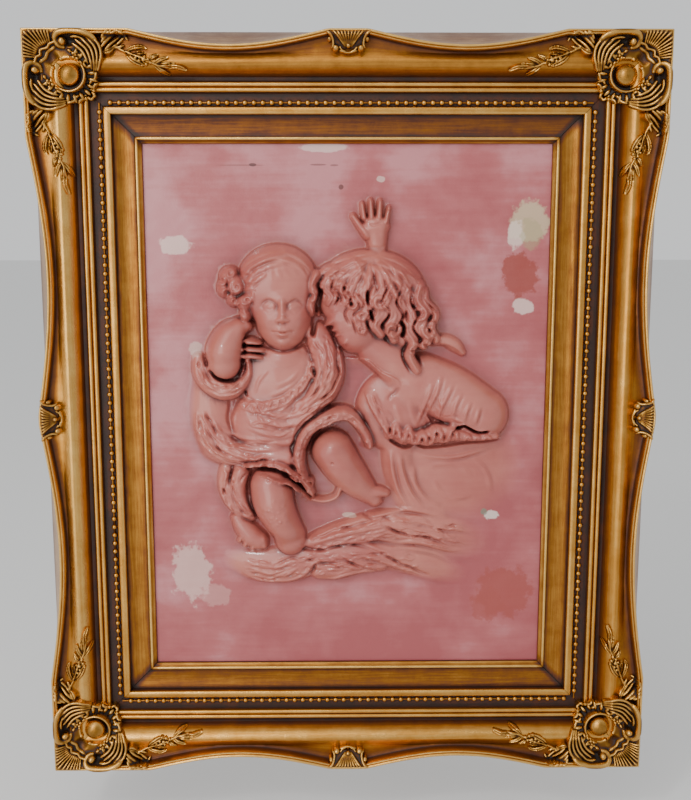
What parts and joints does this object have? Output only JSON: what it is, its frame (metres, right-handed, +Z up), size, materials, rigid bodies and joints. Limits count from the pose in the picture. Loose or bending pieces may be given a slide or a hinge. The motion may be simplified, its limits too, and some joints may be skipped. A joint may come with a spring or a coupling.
{
  "type": "wall relief",
  "caption": "Painted plaster relief of two small children in a gilt swept frame with corner ornaments, hung on a wall.",
  "frame": {"origin": "hanging point on the flat back of the top rail, on the wall plane", "axes": "+Z up along the frame's longest side, -Y out of the wall towards the viewer, +X to the viewer's right"},
  "size_m": [0.466, 0.0417, 0.568],
  "materials": {
    "gilt_moulding": "gilt",
    "gilt_slip": "gilt",
    "gilt_castings": "gilt",
    "pink_plaster": "satin"
  },
  "bodies": {
    "root": {"relief_panel": "pink_plaster", "rail_top": "gilt_moulding", "rail_bottom": "gilt_moulding", "rail_left": "gilt_moulding", "rail_right": "gilt_moulding", "slip_top": "gilt_slip", "slip_bottom": "gilt_slip", "slip_left": "gilt_slip", "slip_right": "gilt_slip", "corner_top_left": "gilt_castings", "corner_top_right": "gilt_castings", "corner_bottom_left": "gilt_castings", "corner_bottom_right": "gilt_castings", "shell_top": "gilt_castings", "shell_bottom": "gilt_castings", "shell_left": "gilt_castings", "shell_right": "gilt_castings"}
  },
  "joints": []
}
